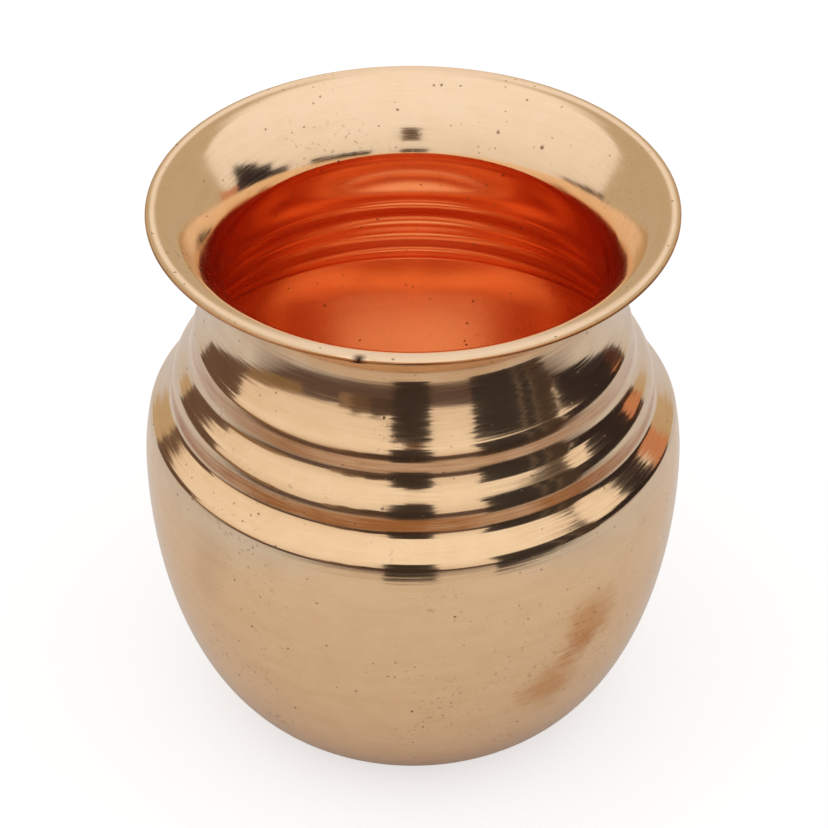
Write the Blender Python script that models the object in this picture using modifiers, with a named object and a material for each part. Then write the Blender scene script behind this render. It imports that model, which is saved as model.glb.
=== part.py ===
# A copper lota: a turned water vessel with a flared mouth, a stepped shoulder and a round belly.
# Three pieces of sheet copper are lapped at the two steps and brazed there.
# Metres, +Z up, origin at the middle of the flat base.

import math

import bpy

# Sheet and seams
SHEET = 0.0006          # thickness of the copper sheet
FIT_GAP = 0.0003        # clearance between pieces that touch
BRAZE_FILM = 0.0003     # thickness of the brazing metal in a lap
LAP = 0.0022            # how far the upper piece reaches down inside the lower one
SEAM_SKIRT = 0.0013     # straight wall above a seam
SEAM_FLANGE = 0.0006    # straight wall below a seam

# Belly, from the base up
BASE_RADIUS = 0.0240    # flat underside
BELLY_HEIGHT = 0.0505   # height of the widest line
CROWN_HEIGHT = 0.0075   # gentle closing of the belly above the widest line
CROWN_CURVE = 0.0700    # profile radius of that closing
BELLY_EDGE_RISE = 0.0026
BELLY_EDGE_ROUND = 0.0055

# Shoulder: two sloping treads with an upright riser above each
BELLY_STEP = 0.0045     # from the lower riser out to the widest line
LOWER_TREAD_RISE = 0.0026
LOWER_FOOT_ROUND = 0.0025
LOWER_EDGE_ROUND = 0.0035
SHOULDER_STEP = 0.0039  # from the upper riser out to the lower riser
UPPER_TREAD_RISE = 0.0051
UPPER_FOOT_ROUND = 0.0045
UPPER_EDGE_ROUND = 0.0040

# Neck and mouth
THROAT_RADIUS = 0.0337  # outside of the narrowest ring
NECK_STEP = 0.0044      # from the throat out to the upper riser
NECK_CURVE = 0.0215     # profile radius of the hollow neck
NECK_CONE = 0.0013      # straight run below that hollow
MOUTH_OVERHANG = 0.0113  # from the throat out to the rim
MOUTH_RISE = 0.0099     # from the throat up to the rim
MOUTH_SWEEP = 70.0      # degrees of the flare's elliptical arc

# Fineness of the turned shapes
TURN_STEPS = 48
CORNER_POINTS = 4
NECK_POINTS = 7
MOUTH_POINTS = 9
CROWN_POINTS = 4
BELLY_POINTS = 14

upper_riser_radius = THROAT_RADIUS + NECK_STEP
lower_riser_radius = upper_riser_radius + SHOULDER_STEP
belly_radius = lower_riser_radius + BELLY_STEP
lap_inset = SHEET + FIT_GAP + BRAZE_FILM + FIT_GAP


def turn(angle):
    """Unit vector at an angle in the profile plane, x outward and z up."""
    return math.cos(angle), math.sin(angle)


def spaced(start, end, count):
    return [start + (end - start) * i / (count - 1) for i in range(count)]


def tangent_length(radius, bend):
    """How far a rounding reaches along each of the two lines that it joins."""
    return radius * math.tan(bend / 2)


def rounded(corners):
    """A line through (x, z, radius) corners, with an arc in place of each inner corner."""
    bends, reach = [0.0], [0.0]
    for before, here, after in zip(corners, corners[1:], corners[2:]):
        arriving = math.atan2(here[1] - before[1], here[0] - before[0])
        leaving = math.atan2(after[1] - here[1], after[0] - here[0])
        bends.append(leaving - arriving)
        reach.append(tangent_length(here[2], abs(leaving - arriving)))
    bends.append(0.0)
    reach.append(0.0)
    lengths = [math.dist(a[:2], b[:2]) for a, b in zip(corners, corners[1:])]
    line = [corners[0][:2]]
    for i in range(1, len(corners) - 1):
        shares = [
            lengths[i - 1] / max(reach[i - 1] + reach[i], lengths[i - 1]),
            lengths[i] / max(reach[i] + reach[i + 1], lengths[i]),
        ]
        fitted = reach[i] * min(shares)
        x, z = corners[i][:2]
        heading = math.atan2(z - corners[i - 1][1], x - corners[i - 1][0])
        radius = fitted / math.tan(abs(bends[i]) / 2)
        side = math.copysign(1.0, bends[i])
        start_x = x - fitted * math.cos(heading)
        start_z = z - fitted * math.sin(heading)
        centre_x = start_x - side * radius * math.sin(heading)
        centre_z = start_z + side * radius * math.cos(heading)
        for bend in spaced(0.0, bends[i], CORNER_POINTS):
            across = heading + bend
            line.append((
                centre_x + side * radius * math.sin(across),
                centre_z - side * radius * math.cos(across),
            ))
    line.append(corners[-1][:2])
    return line


def inside_of(line):
    """The same line one sheet further in, for a wall whose outer side runs downwards."""
    moved = []
    for i, (x, z) in enumerate(line):
        before = line[max(i - 1, 0)]
        after = line[min(i + 1, len(line) - 1)]
        run, rise = after[0] - before[0], after[1] - before[1]
        length = math.hypot(run, rise)
        moved.append((x + SHEET * rise / length, z - SHEET * run / length))
    return moved


# Heights of the shoulder, stacked from the belly up
crown_bend = math.asin(CROWN_HEIGHT / CROWN_CURVE)
crown_top = BELLY_HEIGHT + CROWN_HEIGHT
crown_top_radius = belly_radius - CROWN_CURVE * (1 - math.cos(crown_bend))
belly_edge = crown_top + BELLY_EDGE_RISE
belly_edge_radius = crown_top_radius - BELLY_EDGE_RISE * math.tan(crown_bend)

lower_foot = belly_edge + LOWER_TREAD_RISE
lower_slope = math.atan2(belly_edge_radius - lower_riser_radius, LOWER_TREAD_RISE)
lower_seam = lower_foot + tangent_length(LOWER_FOOT_ROUND, lower_slope) + SEAM_FLANGE
upper_slope = math.atan2(SHOULDER_STEP, UPPER_TREAD_RISE)
lower_edge = lower_seam + SEAM_SKIRT + tangent_length(LOWER_EDGE_ROUND, upper_slope)

upper_foot = lower_edge + UPPER_TREAD_RISE
upper_seam = upper_foot + tangent_length(UPPER_FOOT_ROUND, upper_slope) + SEAM_FLANGE
neck_reach = math.hypot(NECK_CURVE, NECK_CONE)
neck_sweep = math.acos((NECK_CURVE - NECK_STEP) / neck_reach) - math.atan2(NECK_CONE, NECK_CURVE)
upper_edge = upper_seam + SEAM_SKIRT + tangent_length(UPPER_EDGE_ROUND, neck_sweep)
throat = upper_edge + NECK_CURVE * math.sin(neck_sweep) + NECK_CONE * math.cos(neck_sweep)


def mouth_line():
    """Underside of the flare: part of an ellipse, from the rim in to the throat."""
    sweep = math.radians(MOUTH_SWEEP)
    across = MOUTH_OVERHANG / (1 - math.cos(sweep))
    up = MOUTH_RISE / math.sin(sweep)
    line = []
    for angle in spaced(sweep, 0.0, MOUTH_POINTS):
        x, z = turn(angle)
        line.append((THROAT_RADIUS + across * (1 - x), throat + up * z))
    return line


def neck_line():
    """Hollow of the neck: a circular arc that leaves the throat upright."""
    line = []
    for angle in spaced(0.0, neck_sweep, NECK_POINTS):
        x, z = turn(angle)
        line.append((THROAT_RADIUS + NECK_CURVE * (1 - x), throat - NECK_CURVE * z))
    return line


def belly_line():
    """Belly: a wide arc above the widest line, then a quarter ellipse down to the flat base."""
    line = []
    for angle in spaced(crown_bend, 0.0, CROWN_POINTS):
        x, z = turn(angle)
        line.append((belly_radius - CROWN_CURVE * (1 - x), BELLY_HEIGHT + CROWN_CURVE * z))
    for angle in spaced(0.0, math.pi / 2, BELLY_POINTS)[1:]:
        x, z = turn(angle)
        line.append((BASE_RADIUS + (belly_radius - BASE_RADIUS) * x, BELLY_HEIGHT * (1 - z)))
    return line


def lap_tongue(riser_radius, seam):
    """Outer and inner line of the tongue that an upper piece sets down behind the lower piece's wall."""
    ledge = seam + FIT_GAP / 2
    outer_radius = riser_radius - lap_inset
    inner_radius = outer_radius - SHEET
    outer = [(riser_radius, ledge), (outer_radius, ledge), (outer_radius, seam - LAP)]
    inner = [
        (inner_radius, seam - LAP),
        (inner_radius, ledge + SHEET),
        (riser_radius - SHEET, ledge + SHEET),
    ]
    return outer, inner


def neck_profile():
    skin = mouth_line() + neck_line()[1:]
    skin += rounded([
        skin[-1],
        (upper_riser_radius, upper_edge, UPPER_EDGE_ROUND),
        (upper_riser_radius, upper_seam),
    ])[1:-1]
    outer, inner = lap_tongue(upper_riser_radius, upper_seam)
    return skin + outer + inner + inside_of(skin)[::-1]


def shoulder_profile():
    skin = rounded([
        (upper_riser_radius, upper_seam - FIT_GAP / 2),
        (upper_riser_radius, upper_foot, UPPER_FOOT_ROUND),
        (lower_riser_radius, lower_edge, LOWER_EDGE_ROUND),
        (lower_riser_radius, lower_seam),
    ])[:-1]
    outer, inner = lap_tongue(lower_riser_radius, lower_seam)
    return skin + outer + inner + inside_of(skin)[::-1]


def body_profile():
    skin = rounded([
        (lower_riser_radius, lower_seam - FIT_GAP / 2),
        (lower_riser_radius, lower_foot, LOWER_FOOT_ROUND),
        (belly_edge_radius, belly_edge, BELLY_EDGE_ROUND),
        (crown_top_radius, crown_top),
    ])[:-1]
    skin += belly_line()
    return [(0.0, SHEET)] + inside_of(skin)[::-1] + skin + [(0.0, 0.0)]


def braze_profile(riser_radius, seam):
    """The film of brazing metal between a lower piece's wall and the tongue behind it."""
    outer_radius = riser_radius - SHEET - FIT_GAP
    inner_radius = outer_radius - BRAZE_FILM
    top = seam - FIT_GAP
    bottom = seam - LAP
    return [
        (outer_radius, top),
        (outer_radius, bottom),
        (inner_radius, bottom),
        (inner_radius, top),
    ]


def metal(name, colour, roughness):
    material = bpy.data.materials.new(name)
    material.use_nodes = True
    shader = material.node_tree.nodes["Principled BSDF"]
    shader.inputs["Base Color"].default_value = (*colour, 1.0)
    shader.inputs["Metallic"].default_value = 1.0
    shader.inputs["Roughness"].default_value = roughness
    return material


def turned(name, profile, seat, material, collection):
    """A profile in the XZ plane swept round Z, placed by the height of its seat."""
    points = [(x, 0.0, z - seat) for x, z in profile]
    edges = [(i, i + 1) for i in range(len(points) - 1)]
    if profile[0][0] > 0.0:
        edges.append((len(points) - 1, 0))
    mesh = bpy.data.meshes.new(name)
    mesh.from_pydata(points, edges, [])
    mesh.materials.append(material)
    piece = bpy.data.objects.new(name, mesh)
    piece.location.z = seat
    collection.objects.link(piece)
    screw = piece.modifiers.new("turn", "SCREW")
    screw.axis = "Z"
    screw.steps = TURN_STEPS
    screw.render_steps = TURN_STEPS
    screw.use_merge_vertices = True
    screw.merge_threshold = 0.00001
    screw.use_smooth_shade = True
    return piece


def main():
    for old in list(bpy.data.objects):
        bpy.data.objects.remove(old)
    vessel = bpy.data.collections.new("lota")
    bpy.context.scene.collection.children.link(vessel)

    copper = metal("polished_copper", (0.80, 0.52, 0.34), 0.12)
    filler = metal("copper_braze", (0.78, 0.56, 0.40), 0.25)
    turned("body", body_profile(), 0.0, copper, vessel)
    turned("shoulder_ring", shoulder_profile(), lower_seam, copper, vessel)
    turned("neck_and_mouth", neck_profile(), upper_seam, copper, vessel)
    turned("lower_braze", braze_profile(lower_riser_radius, lower_seam), lower_seam, filler, vessel)
    turned("upper_braze", braze_profile(upper_riser_radius, upper_seam), upper_seam, filler, vessel)


main()
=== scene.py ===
# A copper lota on a pale studio floor: the looks of the frame's five nodes, the studio and the camera.
# Profiles are worked in millimetres, r outward and z up, and become metres when a mesh is made.
import math

import bpy
import numpy as np
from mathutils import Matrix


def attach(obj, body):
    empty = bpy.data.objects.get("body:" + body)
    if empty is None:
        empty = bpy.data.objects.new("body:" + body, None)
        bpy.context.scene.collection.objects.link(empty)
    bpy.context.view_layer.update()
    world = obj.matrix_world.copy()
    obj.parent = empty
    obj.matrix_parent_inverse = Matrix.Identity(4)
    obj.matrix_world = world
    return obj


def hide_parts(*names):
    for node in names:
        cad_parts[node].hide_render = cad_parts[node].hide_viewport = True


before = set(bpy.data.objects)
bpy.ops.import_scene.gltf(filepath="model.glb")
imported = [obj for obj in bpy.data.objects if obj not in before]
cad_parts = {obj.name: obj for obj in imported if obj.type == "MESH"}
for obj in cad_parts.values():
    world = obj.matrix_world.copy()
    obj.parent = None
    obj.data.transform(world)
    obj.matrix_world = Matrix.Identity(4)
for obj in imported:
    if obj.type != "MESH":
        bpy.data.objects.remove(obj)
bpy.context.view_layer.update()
scene = bpy.context.scene
perMetre = 1000  # millimetres
turnCount = 320  # facets round the axis of every turned piece
sharpFrom = 40  # degrees between two facets, past which their edge is drawn sharp
print("frame loaded,", len(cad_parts), "nodes")


def toLinear(hexColour):
    # sRGB hex to linear red, green and blue, fully opaque
    values = np.array([int(hexColour[i:i + 2], 16) / 255 for i in (1, 3, 5)])
    linear = np.where(values <= 0.04045, values / 12.92, ((values + 0.055) / 1.055) ** 2.4)
    return (*linear.tolist(), 1.0)


def addNode(tree, kind, output=None, inputs=None, **settings):
    # a shader node with its settings; an input that is a socket is linked, any other is set
    node = tree.nodes.new("ShaderNode" + kind)
    for name, value in settings.items():
        setattr(node, name, value)
    for name, value in (inputs or {}).items():
        if isinstance(value, bpy.types.NodeSocket):
            tree.links.new(value, node.inputs[name])
        else:
            node.inputs[name].default_value = value
    return node.outputs[output] if output else None


rangeEnds = ("From Min", "From Max", "To Min", "To Max")  # the order of the numbers in a range


# Profile lines

def arcLine(centre, radii, fromDeg, toDeg, count):
    # point = centre + radii * (cos angle, sin angle), the angle running evenly from one end to the other
    angle = np.radians(np.linspace(fromDeg, toDeg, count))
    return np.stack([centre[0] + radii[0] * np.cos(angle), centre[1] + radii[1] * np.sin(angle)], axis=1)


def straightLine(start, end, count):
    # point = start * (1 - share) + end * share, the share running evenly from 0 to 1
    share = np.linspace(0, 1, count)[:, None]
    return np.asarray(start) * (1 - share) + np.asarray(end) * share


def roundedCorner(before, corner, after, radius, count):
    # the arc that touches both legs of the corner, from the leg that arrives to the one that leaves
    before, corner, after = (np.asarray(p, float) for p in (before, corner, after))
    arriving = (corner - before) / np.linalg.norm(corner - before)
    leaving = (after - corner) / np.linalg.norm(after - corner)
    cross = arriving[0] * leaving[1] - arriving[1] * leaving[0]
    bend = math.atan2(cross, arriving @ leaving)
    start = corner - arriving * radius * math.tan(abs(bend) / 2)
    centre = start + math.copysign(radius, bend) * np.array([-arriving[1], arriving[0]])
    angle = np.linspace(0, bend, count)
    spoke = start - centre
    return centre + np.stack([
        spoke[0] * np.cos(angle) - spoke[1] * np.sin(angle),
        spoke[0] * np.sin(angle) + spoke[1] * np.cos(angle),
    ], axis=1)


def joined(*lines):
    # one line through all of them, without the points that repeat where they meet
    line = np.concatenate(lines)
    step = np.linalg.norm(np.diff(line, axis=0), axis=1)
    return line[np.concatenate([[True], step > 1e-4])]


def movedIn(line, depth):
    # every point moved by depth along the line's normal, to the side of the vessel's inside
    along = np.gradient(line, axis=0)
    along /= np.linalg.norm(along, axis=1, keepdims=True)
    return line + depth * np.stack([along[:, 1], -along[:, 0]], axis=1)


def rampUp(values, start, full):
    # 0 up to start, 1 from full on, and an even rise between; full may be the smaller of the two
    return np.clip((values - start) / (full - start), 0, 1)


def tarnishAndPaintedShadeAt(z, zones):
    # the zones' sum, each its strength times an even rise from the height where it starts to where it is full
    return sum(strength * rampUp(z, start, full) for start, full, strength in zones)


def turnedPiece(name, line, wear, poles=False, warp=None):
    # point = (r cos a, r sin a, z) for each profile point (r, z) and each angle a round the axis
    run = np.concatenate([[0], np.cumsum(np.linalg.norm(np.diff(line, axis=0), axis=1))])
    angle = np.arange(turnCount) * 2 * np.pi / turnCount
    r, z = (np.repeat(line[:, k, None], turnCount, axis=1) for k in (0, 1))
    a = np.broadcast_to(angle, r.shape)
    if warp:
        r, z = warp(r, z, a)
    points = np.stack([r * np.cos(a), r * np.sin(a), z], axis=-1).reshape(-1, 3) / perMetre
    spin = np.stack([np.cos(a), np.sin(a), np.broadcast_to(run[:, None], r.shape)], axis=-1).reshape(-1, 3)
    wear = {key: np.repeat(values, turnCount) for key, values in wear.items()}
    rows = len(line)
    here = np.arange(turnCount)
    onward = (here + 1) % turnCount
    if poles:  # both ends lie on the axis, so each end row shrinks to one point with a fan of triangles
        first, last = turnCount - 1, (rows - 1) * turnCount
        points = points[first:last + 1]
        spin = spin[first:last + 1]
        wear = {key: values[first:last + 1] for key, values in wear.items()}
        ring = np.arange(rows - 2)[:, None] * turnCount + 1
        top, bottom = ring[:-1], ring[1:]
        triangles = np.concatenate([
            np.stack([np.zeros_like(here), 1 + onward, 1 + here], axis=1),
            np.stack([np.full_like(here, len(points) - 1), ring[-1] + here, ring[-1] + onward], axis=1),
        ])
    else:  # the profile is a closed loop, so the last row joins the first
        ring = np.arange(rows)[:, None] * turnCount
        top, bottom = ring, np.roll(ring, -1, axis=0)
        triangles = np.zeros((0, 3), int)
    quads = np.stack([top + here, top + onward, bottom + onward, bottom + here], axis=-1).reshape(-1, 4)
    corners = np.concatenate([quads.ravel(), triangles.ravel()]).astype(np.int32)
    sizes = np.concatenate([np.full(len(quads), 4), np.full(len(triangles), 3)])
    starts = np.concatenate([[0], np.cumsum(sizes)[:-1]]).astype(np.int32)
    mesh = bpy.data.meshes.new(name)
    mesh.vertices.add(len(points))
    mesh.vertices.foreach_set("co", points.astype(np.float32).ravel())
    mesh.loops.add(len(corners))
    mesh.loops.foreach_set("vertex_index", corners)
    mesh.polygons.add(len(sizes))
    mesh.polygons.foreach_set("loop_start", starts)
    mesh.update(calc_edges=True)
    # spin holds the direction round the axis and the millimetres along the profile, for the turning lines
    spinLayer = mesh.attributes.new("spin", "FLOAT_VECTOR", "POINT")
    spinLayer.data.foreach_set("vector", spin.astype(np.float32).ravel())
    for key, values in wear.items():
        wearLayer = mesh.attributes.new(key, "FLOAT", "POINT")
        wearLayer.data.foreach_set("value", values.astype(np.float32))
    mesh.polygons.foreach_set("use_smooth", np.ones(len(sizes), bool))
    mesh.set_sharp_from_angle(angle=math.radians(sharpFrom))
    piece = bpy.data.objects.new(name, mesh)
    scene.collection.objects.link(piece)
    return piece


# Sizes that the pieces share, each within a millimetre of the frame's solids

vessel = {
    "sheet": 0.6,
    "halfWall": 0.28,  # what a half lap leaves of the lower wall
    "film": 0.05,  # braze between the two halves
    "lap": 0.5,
    "seamGap": 0.004,  # half of the hairline that is left where two skins meet
    "baseRadius": 23.45,
    "bellyRadius": 46.7,
    "bellyHeight": 50.4,
    "lowerRiser": 41.7,  # radii of the two upright walls between the treads
    "upperRiser": 37.92,
    "lowerSeam": 65.12,
    "upperSeam": 74.83,
}
lapPoints = 3  # along each side of a lap
tongueOutside = 4  # points of a tongue, from its seam on, that still count as the outside
recessInside = 3  # points of a recess, from its foot on, that still count as the inside


def lapTongue(riser, seam):
    # the upper piece's wall below its seam: three straight sides of a half-thick tongue, flush inside,
    # that sits behind the half that the lower piece keeps
    outer = riser - vessel["halfWall"] - vessel["film"]
    ledge = seam + vessel["seamGap"]
    foot = seam - vessel["lap"]
    return joined(
        straightLine((riser, ledge), (outer, ledge), lapPoints),
        straightLine((outer, ledge), (outer, foot), lapPoints),
        straightLine((outer, foot), (riser - vessel["sheet"], foot), lapPoints),
    )


def lapRecess(riser, seam):
    # the lower piece's inner side at its top: three straight sides of the half cut away for the tongue
    top = seam - vessel["seamGap"]
    foot = seam - vessel["lap"] - vessel["film"]
    inner = riser - vessel["halfWall"]
    return joined(
        straightLine((riser - vessel["sheet"], foot), (inner, foot), lapPoints),
        straightLine((inner, foot), (inner, top), lapPoints),
        straightLine((inner, top), (riser, top), lapPoints),
    )


# Neck and mouth

neck = {
    "crease": (32.6, 89.9),  # the throat inside, where the flare is bent out of the neck
    # how far along the flare from the crease, and its degrees from upright there
    "flareTilt": [(0, 19.5), (4.95, 37.5), (11.9, 51), (17.1, 95)],
    "throatRadius": 33.05,
    "throat": 89.95,
    "throatRound": 7.0,
    "curve": 20.94,  # radius of the hollow below the throat
    "sweep": (2, 35.46),  # degrees of the hollow, from the throat down
    "edge": 76.66,
    "edgeRound": 4.3,
    "bare": (0.15, -0.35),  # heights from the crease: the inside starts to be bare, and is bare
    "tarnishAndPaintedShade": [(77.0, 75.8, 0.7), (85.0, 88.0, 0.3)],  # the riser's groove, and under the flare
    "rimRadius": 45.0,
    "waveFrom": 36.0,  # radius where the rim's rise and fall begins
    "waves": [(2, 0.10, 0.6), (3, 0.06, -1.0)],  # how many round the rim, height, and turn in radians
    "nickAt": 258.5,  # degrees round from +X
    "nickDeep": 0.35,
    "nickWide": 1.5,
    "nickInward": 0.6,  # share of its depth by which the nick also goes in
    "nickEdge": (44.2, 44.7),  # radii between which the nick grows to its depth
}


def neckLine():
    # down the outside by flare, bend, hollow, edge arc and tongue, then up the inside and round the lip
    riser, seam, sheet = vessel["upperRiser"], vessel["upperSeam"], vessel["sheet"]
    crease, curve = np.array(neck["crease"]), neck["curve"]
    clear = 0.1  # height left between two stretches, so that the line doesn't fold back on itself
    # inside, the flare leans from the upright by a tilt that grows evenly from one length to the next
    length, degrees = np.array(neck["flareTilt"], float).T
    run = np.linspace(0, length[-1], num=80)
    tilt = np.radians(np.interp((run[1:] + run[:-1]) / 2, length, degrees))
    steps = np.diff(run)[:, None] * np.stack([np.sin(tilt), np.cos(tilt)], axis=1)
    flareIn = (crease + np.concatenate([[[0, 0]], np.cumsum(steps, axis=0)]))[::-1]
    flareOut = movedIn(flareIn, -sheet)
    lean = steps[0] / np.linalg.norm(steps[0])
    hollowCentre = (neck["throatRadius"] + curve, neck["throat"])
    hollow = arcLine(hollowCentre, (-curve, -curve), *neck["sweep"], count=40)
    edge = roundedCorner(hollow[-1], (riser, neck["edge"]), (riser, seam), neck["edgeRound"], count=14)
    aim = hollow[3]  # the bend leaves the flare towards this point, a little below the throat
    bend = roundedCorner(flareOut[-1] + lean, flareOut[-1], aim, neck["throatRound"], count=9)
    below = hollow[hollow[:, 1] < bend[-1, 1] - clear]
    skin = joined(flareOut[flareOut[:, 1] > bend[0, 1] + clear / 2], bend, below, edge)
    neckIn = movedIn(joined(below, edge), sheet)
    inner = joined(flareIn, neckIn[neckIn[:, 1] < crease[1] - clear])
    side = math.degrees(math.atan2(*(inner[0] - skin[0])[::-1]))
    lip = arcLine((skin[0] + inner[0]) / 2, (sheet / 2, sheet / 2), side, side - 180, count=11)[1:-1]
    line = joined(skin, lapTongue(riser, seam), inner[::-1], lip)
    z = line[:, 1]
    point = np.arange(len(line))
    inside = point >= len(skin) + tongueOutside
    onLip = point >= len(line) - len(lip)
    bareFrom, bareFull = neck["bare"]
    bare = np.where(inside, rampUp(z, crease[1] + bareFrom, crease[1] + bareFull), 0)
    # tarnish stays in the groove, under the flare and on the cut edge, where the buff doesn't reach
    tarnishAndPaintedShade = np.where(onLip, 1.0, np.where(inside, 0.0, tarnishAndPaintedShadeAt(z, neck["tarnishAndPaintedShade"])))
    return line, {"bare": bare, "tarnishAndPaintedShade": tarnishAndPaintedShade, "hazy": np.where(inside & ~onLip, 1.0, 0.0)}


def neckWarp(r, z, a):
    # a hand-turned rim: z gains a sum of cosines of the angle, and a bell curve dents the lip in front
    rise = rampUp(r, neck["waveFrom"], neck["rimRadius"]) ** 2
    wave = sum(height * np.cos(count * a + turn) for count, height, turn in neck["waves"])
    fromNick = np.mod(a - math.radians(neck["nickAt"]) + np.pi, 2 * np.pi) - np.pi
    nick = neck["nickDeep"] * np.exp(-(fromNick * neck["rimRadius"] / neck["nickWide"]) ** 2)
    nick = nick * rampUp(r, *neck["nickEdge"])
    return r - neck["nickInward"] * nick, z + wave * rise - nick


# Shoulder ring

shoulder = {
    "foot": 72.03,
    "footRound": 5.0,
    "edge": 67.69,
    "edgeRound": 5.0,
    "tarnishAndPaintedShade": [(72.6, 73.4, 0.7), (67.2, 66.2, 1.0)],  # the grooves of the upper and the lower riser
}


def shoulderLine():
    # down the outside by riser, foot arc, tread, edge arc and tongue, then up the inside to the recess
    upper, lower = vessel["upperRiser"], vessel["lowerRiser"]
    top = (upper, vessel["upperSeam"] - vessel["seamGap"])
    foot, edge = (upper, shoulder["foot"]), (lower, shoulder["edge"])
    footArc = roundedCorner(top, foot, edge, shoulder["footRound"], count=16)
    edgeArc = roundedCorner(foot, edge, (lower, vessel["lowerSeam"]), shoulder["edgeRound"], count=16)
    tread = straightLine(footArc[-1], edgeArc[0], count=5)
    skin = joined(straightLine(top, footArc[0], count=4), footArc, tread, edgeArc)
    inner = movedIn(skin, vessel["sheet"])
    inner = inner[inner[:, 1] < vessel["upperSeam"] - vessel["lap"] - vessel["film"]]
    recess = lapRecess(upper, vessel["upperSeam"])
    line = joined(skin, lapTongue(lower, vessel["lowerSeam"]), inner[::-1], recess[:-1])
    bare = (np.arange(len(line)) >= len(skin) + tongueOutside).astype(float)
    tarnishAndPaintedShade = (1 - bare) * tarnishAndPaintedShadeAt(line[:, 1], shoulder["tarnishAndPaintedShade"])
    return line, {"bare": bare, "tarnishAndPaintedShade": tarnishAndPaintedShade, "hazy": bare}


# Body

body = {
    "foot": 63.35,
    "footRound": 2.2,
    "edge": (45.72, 59.58),
    "edgeRound": 2.4,
    "crownCurve": 42.0,  # radius of the belly just above its widest place
    "crownSweep": 10.0,
    # tarnish in the riser's groove; the second zone is painted shade, darker towards the base
    "tarnishAndPaintedShade": [(63.4, 64.1, 1.0), (16.0, 0.0, 0.35)],  # the riser's groove, and towards the base
}


def bodyLine():
    # from the middle of the floor up the inside to the recess, then down the outside by riser, foot arc,
    # tread, edge arc, crown arc and a quarter of an ellipse, and along the base back to the axis
    riser, wide, high = vessel["lowerRiser"], vessel["bellyRadius"], vessel["bellyHeight"]
    top = (riser, vessel["lowerSeam"] - vessel["seamGap"])
    foot, edge, curve = (riser, body["foot"]), body["edge"], body["crownCurve"]
    crown = arcLine((wide - curve, high), (curve, curve), body["crownSweep"], 0, count=14)
    footArc = roundedCorner(top, foot, edge, body["footRound"], count=14)
    edgeArc = roundedCorner(foot, edge, crown[0], body["edgeRound"], count=16)
    tread = straightLine(footArc[-1], edgeArc[0], count=4)
    belly = arcLine((vessel["baseRadius"], high), (wide - vessel["baseRadius"], -high), 0, 90, count=72)
    skin = joined(straightLine(top, footArc[0], count=4), footArc, tread, edgeArc, crown, belly)
    inner = movedIn(skin, vessel["sheet"])
    inner = inner[inner[:, 1] < vessel["lowerSeam"] - vessel["lap"] - vessel["film"]]
    base = straightLine(skin[-1], (0, 0), count=8)
    floorInside = straightLine((0, vessel["sheet"]), inner[-1], count=8)
    line = joined(floorInside, inner[::-1], lapRecess(riser, vessel["lowerSeam"]), skin, base)
    bare = (np.arange(len(line)) < len(floorInside) + len(inner) + recessInside).astype(float)
    # tarnish in the groove, and painted shade growing towards the base
    tarnishAndPaintedShade = (1 - bare) * tarnishAndPaintedShadeAt(line[:, 1], body["tarnishAndPaintedShade"])
    return line, {"bare": bare, "tarnishAndPaintedShade": tarnishAndPaintedShade, "hazy": bare}


# Braze films

braze = {
    "seams": {"lower_braze": ("lowerRiser", "lowerSeam"), "upper_braze": ("upperRiser", "upperSeam")},
    "clearance": 0.005,  # to the sheet on each side
    "below": 0.1,  # from the seam down to the film's top
    "tone": "#d8a57a",
    "roughness": 0.35,
}


def brazeLine(riser, seam):
    # the four corners of a thin sleeve in the half lap, from its foot up to just under the seam
    outer = riser - vessel["halfWall"] - braze["clearance"]
    inner = riser - vessel["halfWall"] - vessel["film"] + braze["clearance"]
    foot = seam - vessel["lap"]
    top = seam - braze["below"]
    return np.array([(outer, top), (outer, foot), (inner, foot), (inner, top)])


def brazeMaterial():
    # pale brazing metal, filed dull
    material = bpy.data.materials.new("filed_copper_braze")
    material.use_nodes = True
    shader = material.node_tree.nodes["Principled BSDF"]
    shader.inputs["Base Color"].default_value = toLinear(braze["tone"])
    shader.inputs["Metallic"].default_value = 1.0
    shader.inputs["Roughness"].default_value = braze["roughness"]
    return material


# Copper

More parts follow.
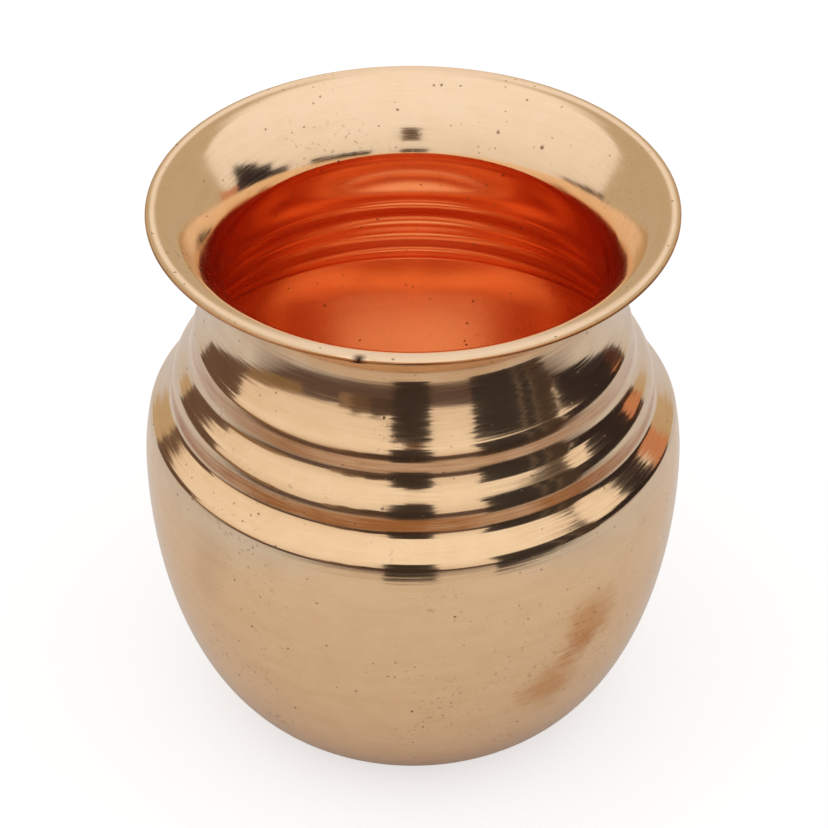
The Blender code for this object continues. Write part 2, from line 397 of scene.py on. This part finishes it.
copper = {
    "polished": "#f0ca9e",
    "film": "#d9a878",  # thin brown film, in bands and mottles
    # brown tarnish, also the tone of the painted reflection on the camera's side and of the painted shade
    # towards the base
    "tarnishAndPaintedShade": "#b2713f",
    "haze": "#f6e0c6",
    "hazeShare": 0.3,
    "bare": "#fbbf94",
    "redStain": "#d8632f",
    "fleck": "#7a4a2c",
    "pit": "#54331c",
    "turning": {  # noise cells round the axis, for one radius, and across it, for one millimetre; detail
        "lines": ((4.0, 4.0, 3.0), 3.0),
        "bands": ((2.0, 2.0, 0.5), 3.0),
        "tilts": ((0.9, 0.9, 2.4), 5.0),
    },
    "patches": {  # noise in the metal: size in millimetres, detail
        "clouds": (14.29, 4.0),
        "mottle": (3.846, 5.0),
        "grains": (1.111, 2.0),
        "drifts": (18.18, 3.0),
        "crumbs": (0.909, 4.0),
        "crowds": (22.22, 2.0),
        "wander": (0.4167, 2.0),
    },
    "blends": {  # noises that are added, each by its share
        "patchy": {"lines": 0.4, "clouds": 0.6},
        "filmed": {"lines": 0.25, "bands": 0.35, "mottle": 0.40},
        "reddened": {"bands": 0.3, "clouds": 0.7},
        "drifting": {"drifts": 1.0},
        "crumbling": {"crumbs": 1.0},
        "crowded": {"crowds": 1.0},
    },
    "ranges": {  # from a low and a high value to what they become
        "patchy": (0.30, 0.62, 0.35, 1.25),
        # painted reflection: how the tarnish share grows towards the camera's side, where the copper mirrors
        # the dark floor
        "paintedFrontReflection": (0.1, -0.75, 0.35, 1.0),
        "filmed": (0.44, 0.68, 0.0, 0.34),
        "reddened": (0.42, 0.66, 0.0, 0.12),
        "drifting": (0.53, 0.70, 0.0, 1.0),
        "crumbling": (0.60, 0.67, 0.0, 0.42),
        "crowded": (0.36, 0.66, 0.10, 0.75),
        "pitWide": (0.0, 1.0, 0.05, 0.22),
        "pitEdge": (1.0, 0.4, 0.0, 1.0),
        "pitDark": (0.0, 1.0, 0.25, 0.9),
        "roughEnd": (0.0, 1.0, 0.17, 0.10),  # of the roughest line, outside and on bare metal
        "leaning": (0.0, 1.0, 0.10, 0.035),
    },
    "roughLines": (0.35, 0.70, 0.09),  # noise of the smoothest and the roughest line, roughness of the first
    "roughTarnish": 0.12,
    "roughBare": 0.07,
    "roughPits": 0.30,
    "steadyBare": 0.031,  # how much less the lines lean on bare metal
    "pitNet": 1.613,  # millimetres between the places where a pit may be
    "pitWander": 0.0005,  # metres by which a pit's edge is ragged
    "bump": {"Strength": 0.3, "Distance": 0.0001},
    "grainHigh": 0.10,
    "pitDeep": 0.2,
    "markFray": 1.2,  # how much more the mottles fray a mark's edge than the lines do
    "marks": [  # what is rubbed or stained at one place: where and how wide in millimetres, strength, tone
        ((29.9, -35.0, 39.7), 7.5, 0.62, "#c98236"),
        ((28.6, -35.4, 34.8), 4.5, 0.55, "#c07a36"),
        ((23.2, -37.1, 27.2), 7.5, 0.62, "#c98236"),
        ((-34.0, -31.7, 51.1), 6.0, 0.18, "#a87850"),
        ((-35.2, -30.1, 44.5), 5.0, 0.18, "#a87850"),
        ((14.9, 32.0, 94.8), 0.55, 1.0, "#5a3418"),
        ((22.4, 27.1, 94.7), 0.55, 1.0, "#6a3a1c"),
        ((-8.6, -43.6, 100.2), 1.6, 1.0, "#3c2414"),
    ],
}


def copperMaterial():
    # bright turned copper: cream where it mirrors light, tan where it mirrors the floor; dull orange inside
    material = bpy.data.materials.new("buffed_sheet_copper")
    material.use_nodes = True
    tree = material.node_tree
    shader = tree.nodes["Principled BSDF"]
    ranges = {name: dict(zip(rangeEnds, ends)) for name, ends in copper["ranges"].items()}
    bare = addNode(tree, "Attribute", "Fac", attribute_name="bare")
    tarnishAndPaintedShade = addNode(tree, "Attribute", "Fac", attribute_name="tarnishAndPaintedShade")
    hazy = addNode(tree, "Attribute", "Fac", attribute_name="hazy")
    spin = addNode(tree, "Attribute", "Vector", attribute_name="spin")
    place = addNode(tree, "TexCoord", "Object")

    # noises: those of the turning are long round the axis and fine across it, the others as wide as long
    noise = {}
    for name, (cells, detail) in copper["turning"].items():
        stretched = addNode(tree, "VectorMath", "Vector", {0: spin, 1: cells}, operation="MULTIPLY")
        noise[name] = addNode(tree, "TexNoise", "Fac", {
            "Vector": stretched, "Scale": 1.0, "Detail": detail,
        })
    for name, (size, detail) in copper["patches"].items():
        noise[name] = addNode(tree, "TexNoise", "Fac", {
            "Vector": place, "Scale": perMetre / size, "Detail": detail,
        })
    blend = {}
    for name, shares in copper["blends"].items():
        total = 0.0
        for part, share in shares.items():
            total = addNode(tree, "Math", "Value", {
                0: noise[part], 1: share, 2: total,
            }, operation="MULTIPLY_ADD")
        blend[name] = addNode(tree, "MapRange", "Result", {"Value": total, **ranges[name]})

    # tarnish in the grooves, patchy and drawn out along the lines; painted reflection: the share is full on
    # the camera's side and about a third at the sides, standing in for the dark floor that the copper mirrors
    # in front
    facing = addNode(tree, "SeparateXYZ", "Y", {0: spin})
    paintedFrontReflection = addNode(tree, "MapRange", "Result", {"Value": facing, **ranges["paintedFrontReflection"]})
    tarnishAndPaintedShadeShare = addNode(tree, "Math", "Value", {0: tarnishAndPaintedShade, 1: blend["patchy"]}, operation="MULTIPLY")
    tarnishAndPaintedShadeShare = addNode(tree, "Math", "Value", {0: tarnishAndPaintedShadeShare, 1: paintedFrontReflection}, operation="MULTIPLY")

    # the flare's inside has a pale dry film, as water leaves
    dried = addNode(tree, "Math", "Value", {0: hazy, 1: copper["hazeShare"]}, operation="MULTIPLY")

    # inside: spun and left as it came, redder in clouds and along the bands
    inside = addNode(tree, "Mix", "Result", {
        "Factor": blend["reddened"], "A": toLinear(copper["bare"]), "B": toLinear(copper["redStain"]),
    }, data_type="RGBA")

    # marks at their own places, their edges frayed by the mottles and the lines
    fray = addNode(tree, "Math", "Value", {
        0: noise["mottle"], 1: copper["markFray"], 2: noise["lines"],
    }, operation="MULTIPLY_ADD")
    middleFray = (copper["markFray"] + 1) / 2  # both noises lie about one half
    fray = addNode(tree, "Math", "Value", {0: fray, 1: middleFray}, operation="SUBTRACT")
    marks = []
    for at, radius, strength, tone in copper["marks"]:
        reach = radius / perMetre
        away = addNode(tree, "VectorMath", "Value", {
            0: place, 1: [v / perMetre for v in at],
        }, operation="DISTANCE")
        away = addNode(tree, "Math", "Value", {0: fray, 1: reach, 2: away}, operation="MULTIPLY_ADD")
        spread = addNode(tree, "MapRange", "Result", {
            "Value": away, **dict(zip(rangeEnds, (reach, reach / 4, 0.0, strength))),
        })
        marks.append((spread, toLinear(tone)))

    # flecks: brown crumbs of tarnish, half a millimetre and less, in loose drifts on the polished side
    polished = addNode(tree, "Math", "Value", {0: 1.0, 1: bare}, operation="SUBTRACT")
    flecks = addNode(tree, "Math", "Value", {
        0: blend["drifting"], 1: blend["crumbling"],
    }, operation="MULTIPLY")
    flecks = addNode(tree, "Math", "Value", {0: flecks, 1: polished}, operation="MULTIPLY")

    # pits: some cells of the net hold a dark ragged speck, up to a third of a millimetre in radius
    wander = addNode(tree, "VectorMath", "Vector", {
        0: noise["wander"].node.outputs["Color"], "Scale": copper["pitWander"],
    }, operation="SCALE")
    wandered = addNode(tree, "VectorMath", "Vector", {0: place, 1: wander}, operation="ADD")
    fromPit = addNode(tree, "TexVoronoi", "Distance", {
        "Vector": wandered, "Scale": perMetre / copper["pitNet"],
    })
    luck = addNode(tree, "SeparateColor", "Red", {0: fromPit.node.outputs["Color"]})
    holds = addNode(tree, "Math", "Value", {0: luck, 1: blend["crowded"]}, operation="LESS_THAN")
    wide = addNode(tree, "MapRange", "Result", {"Value": luck.node.outputs["Green"], **ranges["pitWide"]})
    dark = addNode(tree, "MapRange", "Result", {"Value": luck.node.outputs["Blue"], **ranges["pitDark"]})
    speck = addNode(tree, "Math", "Value", {0: fromPit, 1: wide}, operation="DIVIDE")
    speck = addNode(tree, "MapRange", "Result", {"Value": speck, **ranges["pitEdge"]})
    pits = addNode(tree, "Math", "Value", {0: holds, 1: speck}, operation="MULTIPLY")
    pits = addNode(tree, "Math", "Value", {0: pits, 1: dark}, operation="MULTIPLY")

    # the colour is built up in layers, each over what is there by its share
    layers = [
        (blend["filmed"], toLinear(copper["film"])),
        # tarnish, with painted reflection and painted shade: fuller on the camera's side and towards the base
        (tarnishAndPaintedShadeShare, toLinear(copper["tarnishAndPaintedShade"])),
        (dried, toLinear(copper["haze"])),
        (bare, inside),
        *marks,
        (flecks, toLinear(copper["fleck"])),
        (pits, toLinear(copper["pit"])),
    ]
    colour = toLinear(copper["polished"])
    for share, tone in layers:
        colour = addNode(tree, "Mix", "Result", {"Factor": share, "A": colour, "B": tone}, data_type="RGBA")

    # roughness: glossy between the lines, duller on tarnish, bare metal and pits
    roughEnd = addNode(tree, "MapRange", "Result", {"Value": bare, **ranges["roughEnd"]})
    rough = addNode(tree, "MapRange", "Result", {
        "Value": noise["lines"], **dict(zip(rangeEnds, (*copper["roughLines"], roughEnd))),
    })
    for share, more in ((tarnishAndPaintedShadeShare, "roughTarnish"), (bare, "roughBare"), (pits, "roughPits")):
        rough = addNode(tree, "Math", "Value", {
            0: share, 1: copper[more], 2: rough,
        }, operation="MULTIPLY_ADD")

    # each turned line leans a little its own way, which frays the edges of what the copper mirrors
    lean = addNode(tree, "MapRange", "Result", {"Value": hazy, **ranges["leaning"]})
    lean = addNode(tree, "Math", "Value", {
        0: bare, 1: -copper["steadyBare"], 2: lean,
    }, operation="MULTIPLY_ADD")
    tilt = addNode(tree, "VectorMath", "Vector", {
        0: noise["tilts"].node.outputs["Color"], 1: (0.5, 0.5, 0.5),
    }, operation="SUBTRACT")
    tilt = addNode(tree, "VectorMath", "Vector", {0: tilt, "Scale": lean}, operation="SCALE")
    normal = addNode(tree, "NewGeometry", "Normal")
    normal = addNode(tree, "VectorMath", "Vector", {0: normal, 1: tilt}, operation="ADD")
    normal = addNode(tree, "VectorMath", "Vector", {0: normal}, operation="NORMALIZE")
    height = addNode(tree, "Math", "Value", {
        0: noise["grains"], 1: copper["grainHigh"],
    }, operation="MULTIPLY")
    height = addNode(tree, "Math", "Value", {
        0: pits, 1: -copper["pitDeep"], 2: height,
    }, operation="MULTIPLY_ADD")
    normal = addNode(tree, "Bump", "Normal", {"Height": height, "Normal": normal, **copper["bump"]})

    tree.links.new(colour, shader.inputs["Base Color"])
    tree.links.new(rough, shader.inputs["Roughness"])
    tree.links.new(normal, shader.inputs["Normal"])
    shader.inputs["Metallic"].default_value = 1.0
    return material


# Pieces

sheetCopper = copperMaterial()
filler = brazeMaterial()
turned = {
    "neck_and_mouth": turnedPiece("neck_and_mouth_turned", *neckLine(), warp=neckWarp),
    "shoulder_ring": turnedPiece("shoulder_ring_turned", *shoulderLine()),
    "body": turnedPiece("body_turned", *bodyLine(), poles=True),
}
for node, (riser, seam) in braze["seams"].items():
    turned[node] = turnedPiece(node + "_film", brazeLine(vessel[riser], vessel[seam]), {})
for node, piece in turned.items():
    isBraze = node in braze["seams"]
    piece.data.materials.append(filler if isBraze else sheetCopper)
    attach(piece, "root")
    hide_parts(node)
print("pieces made,", len(turned))


# Studio floor

floor = {
    "half": 3.0,
    "below": 0.0001,  # so that the vessel's base and the floor don't share a plane
    "paper": "#e6e4e2",
    "paperBeside": "#dbe5f5",
    "beside": (0.08, 0.15),  # metres to either side between which the paper turns cooler
    "dim": "#645758",  # the unlit floor past the paper, on the camera's side
    "paperEnd": (0.20, 0.25),
    "dimFront": (0.02, -0.12),
    "shadow": "#b8b8b8",  # what the camera sees: this under the light, and the lift added
    "lift": 0.62,
}


def stageMesh(name, points, faces, material):
    # a thing of the set, made of flat faces between the points
    mesh = bpy.data.meshes.new(name)
    mesh.from_pydata(points, [], faces)
    mesh.materials.append(material)
    thing = bpy.data.objects.new(name, mesh)
    scene.collection.objects.link(thing)
    return thing


def floorMaterial():
    # pale paper: white to the camera with a soft shadow, and a plain lit sheet to everything else
    material = bpy.data.materials.new("pale_paper")
    material.use_nodes = True
    tree = material.node_tree
    tree.nodes.clear()
    ranges = {name: dict(zip(rangeEnds, floor[name])) for name in ("beside", "paperEnd", "dimFront")}
    place = addNode(tree, "TexCoord", "Object")
    across = addNode(tree, "SeparateXYZ", "X", {0: place})
    depth = across.node.outputs["Y"]
    across = addNode(tree, "Math", "Value", {0: across}, operation="ABSOLUTE")
    away = addNode(tree, "VectorMath", "Value", {0: place}, operation="LENGTH")
    beside = addNode(tree, "MapRange", "Result", {"Value": across, **ranges["beside"]})
    beyond = addNode(tree, "MapRange", "Result", {"Value": away, **ranges["paperEnd"]})
    inFront = addNode(tree, "MapRange", "Result", {"Value": depth, **ranges["dimFront"]})
    unlit = addNode(tree, "Math", "Value", {0: beyond, 1: inFront}, operation="MULTIPLY")
    tone = toLinear(floor["paper"])
    for share, name in ((beside, "paperBeside"), (unlit, "dim")):
        tone = addNode(tree, "Mix", "Result", {
            "Factor": share, "A": tone, "B": toLinear(floor[name]),
        }, data_type="RGBA")
    lit = addNode(tree, "BsdfDiffuse", "BSDF", {"Color": tone})
    shadow = addNode(tree, "BsdfDiffuse", "BSDF", {"Color": toLinear(floor["shadow"])})
    lift = addNode(tree, "Emission", "Emission", {"Color": toLinear("#ffffff"), "Strength": floor["lift"]})
    seen = addNode(tree, "AddShader", "Shader", {0: shadow, 1: lift})
    isCamera = addNode(tree, "LightPath", "Is Camera Ray")
    both = addNode(tree, "MixShader", "Shader", {0: isCamera, 1: lit, 2: seen})
    addNode(tree, "OutputMaterial", inputs={"Surface": both})
    return material


half = floor["half"]
floorCorners = [(-half, -half, 0), (half, -half, 0), (half, half, 0), (-half, half, 0)]
paper = stageMesh("floor", floorCorners, [(0, 1, 2, 3)], floorMaterial())
paper.location.z = -floor["below"]


# Dark and tinted cards round the set, which only the copper's mirroring shows

cardColumns = 13
cards = {  # azimuth in degrees from the camera's side, heights and distance from the axis in metres, tone
    "frontHigh": ((-4, 6.5), (0.96, 1.78), 2.0, "#5f4a36"),
    "frontLow": ((-9.2, 7.7), (0.03, 0.1255), 0.115, "#3c3738"),
    "leftA": ((-15, -9), (0.0, 0.13), 0.5, "#50443f"),
    "leftB": ((-21, -15), (0.0, 0.15), 0.5, "#50443f"),
    "leftC": ((-26, -21), (0.0, 0.115), 0.5, "#66564c"),
    "leftD": ((-31, -26), (0.0, 0.14), 0.5, "#6a5b4f"),
    "leftE": ((-37, -31), (0.0, 0.10), 0.5, "#8a7768"),
    "leftMiddle": ((-92, -58), (0.0, 0.08), 0.5, "#8c7860"),
    "leftFar": ((-123, -92), (0.0, 0.20), 0.5, "#6a5953"),
    "rightPanelA": ((26.6, 48), (0.03, 0.1255), 0.115, "#3a383b"),
    "rightPanelB": ((50.4, 54.8), (0.03, 0.1255), 0.115, "#3a383b"),
    "rightPanelC": ((56.7, 66), (0.03, 0.1255), 0.115, "#49403c"),
    "rightSlits": ((47.5, 57.2), (0.03, 0.1255), 0.116, "#655e5b"),
    "rightNext": ((75, 86), (0.0, 0.23), 0.5, "#312c30"),
    "rightFar": ((86, 96), (0.0, 0.30), 0.5, "#312c30"),
    "rightTall": ((96, 111), (0.0, 0.34), 0.5, "#312c30"),
    "rightGlow": ((111, 124), (0.11, 0.215), 0.5, "#cc9478"),
    "rightGlowFoot": ((111, 122), (0.0, 0.11), 0.5, "#4e3630"),
}


def cardMaterial(tone):
    # unlit cloth of one tone
    material = bpy.data.materials.new("studio_cloth")
    material.use_nodes = True
    tree = material.node_tree
    tree.nodes.clear()
    glow = addNode(tree, "Emission", "Emission", {"Color": toLinear(tone), "Strength": 1.0})
    addNode(tree, "OutputMaterial", inputs={"Surface": glow})
    return material


for name, (ends, heights, away, tone) in cards.items():
    # a strip of a cylinder: point = away * (sin azimuth, -cos azimuth), at the low and the high edge
    azimuth = np.radians(np.linspace(*ends, cardColumns))
    ring = np.stack([np.sin(azimuth), -np.cos(azimuth)], axis=1) * away
    points = [(*p, height) for height in heights for p in ring.tolist()]
    faces = [(i, i + 1, i + cardColumns + 1, i + cardColumns) for i in range(cardColumns - 1)]
    card = stageMesh(name, points, faces, cardMaterial(tone))
    card.visible_camera = False
    card.visible_diffuse = False
    card.visible_shadow = False


# Sky

sky = {
    "horizon": "#ece8e6",
    "overhead": (1.06, 1.08, 1.12, 1),
    "backdrop": "#c8bda8",
    "rise": (0.0, 0.9),  # of a direction's upward part, from horizon to overhead
    "behind": (0.42, 0.48),  # of its backward part, where the backdrop begins
    "top": (0.84, 0.74),  # of its upward part, where the backdrop ends
    "aside": (0.04, 0.10),  # of its sideways part, as the backdrop is open in the middle
}


def studioSky():
    # a bright dome, with a tan backdrop behind the vessel on both sides, and plain white to the camera
    world = bpy.data.worlds.new("studio")
    world.use_nodes = True
    tree = world.node_tree
    tree.nodes.clear()
    ranges = {name: dict(zip(rangeEnds, sky[name])) for name in ("rise", "behind", "top", "aside")}
    heading = addNode(tree, "TexCoord", "Generated")
    sideways = addNode(tree, "SeparateXYZ", "X", {0: heading})
    backward, upward = (sideways.node.outputs[axis] for axis in "YZ")
    sideways = addNode(tree, "Math", "Value", {0: sideways}, operation="ABSOLUTE")
    rise = addNode(tree, "MapRange", "Result", {"Value": upward, **ranges["rise"]})
    hung = addNode(tree, "MapRange", "Result", {"Value": backward, **ranges["behind"]})
    for part, name in ((upward, "top"), (sideways, "aside")):
        limit = addNode(tree, "MapRange", "Result", {"Value": part, **ranges[name]})
        hung = addNode(tree, "Math", "Value", {0: hung, 1: limit}, operation="MULTIPLY")
    isCamera = addNode(tree, "LightPath", "Is Camera Ray")
    layers = [
        (rise, sky["overhead"]),
        (hung, toLinear(sky["backdrop"])),
        (isCamera, toLinear("#ffffff")),
    ]
    colour = toLinear(sky["horizon"])
    for share, tone in layers:
        colour = addNode(tree, "Mix", "Result", {"Factor": share, "A": colour, "B": tone}, data_type="RGBA")
    back = addNode(tree, "Background", "Background", {"Color": colour, "Strength": 1.0})
    addNode(tree, "OutputWorld", inputs={"Surface": back})
    return world


scene.world = studioSky()
print("studio made,", len(cards), "cards")


# Camera

view = {
    "target": 0.0570,  # height on the axis that it looks at
    "away": 0.6525,
    "elevation": 36.85,
    "lens": 162.6,
    "sensor": 36,
    "shift": 0.0012,
    "nearest": 0.05,
}
lifted = math.radians(view["elevation"])
camera = bpy.data.objects.new("camera", bpy.data.cameras.new("camera"))
scene.collection.objects.link(camera)
camera.location = (0, -view["away"] * math.cos(lifted), view["target"] + view["away"] * math.sin(lifted))
camera.rotation_euler = (math.pi / 2 - lifted, 0, 0)
camera.data.sensor_width = view["sensor"]
camera.data.lens = view["lens"]
camera.data.shift_x = view["shift"]
camera.data.clip_start = view["nearest"]
scene.camera = camera

scene.view_settings.view_transform = "Standard"
scene.cycles.max_bounces = 16  # light goes round inside the vessel many times
scene.cycles.glossy_bounces = 12
